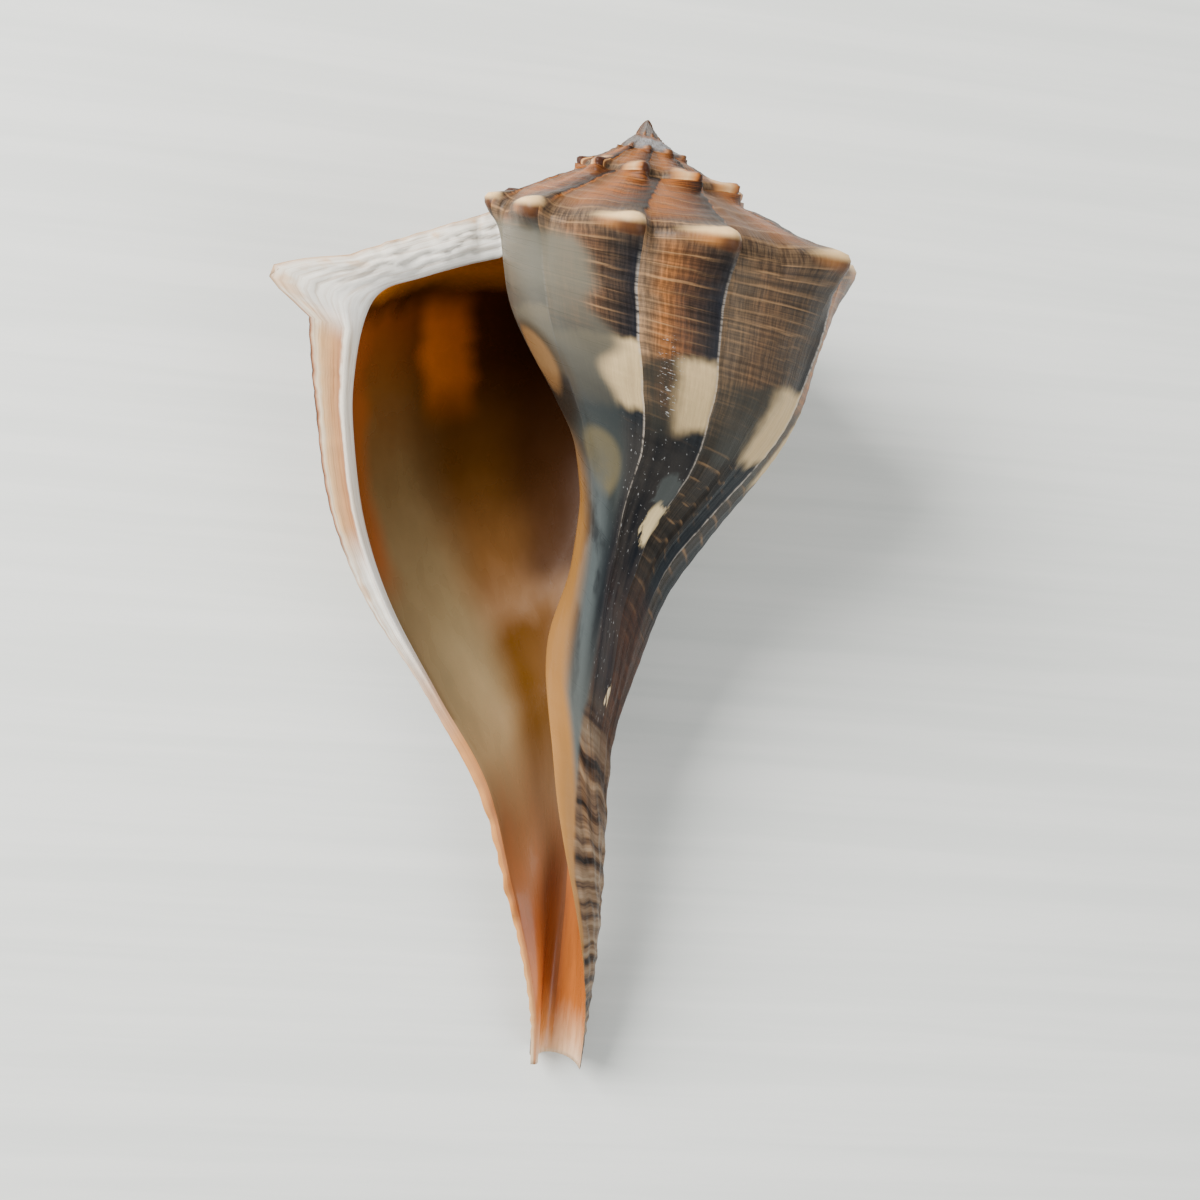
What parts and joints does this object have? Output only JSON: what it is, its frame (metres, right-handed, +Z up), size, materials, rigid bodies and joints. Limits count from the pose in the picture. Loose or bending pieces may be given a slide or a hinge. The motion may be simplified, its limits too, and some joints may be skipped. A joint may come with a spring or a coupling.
{
  "type": "whelk shell",
  "caption": "Left-handed spiral sea shell with a knobbed shoulder, a wide oval aperture and a long open siphonal canal, lying with the aperture up.",
  "frame": {"origin": "centre of the underside of the bounding box, on the surface that the shell lies on", "axes": "+Y towards the spire, +Z up out of the aperture, +X to the side away from the outer lip"},
  "size_m": [0.0912, 0.1496, 0.0719],
  "materials": {
    "shell": "semi-gloss natural shell: cream, orange-brown and blue-black outside, glossy white lip, burnt orange cavity"
  },
  "bodies": {
    "root": {"whelk_shell": "shell"}
  },
  "joints": []
}
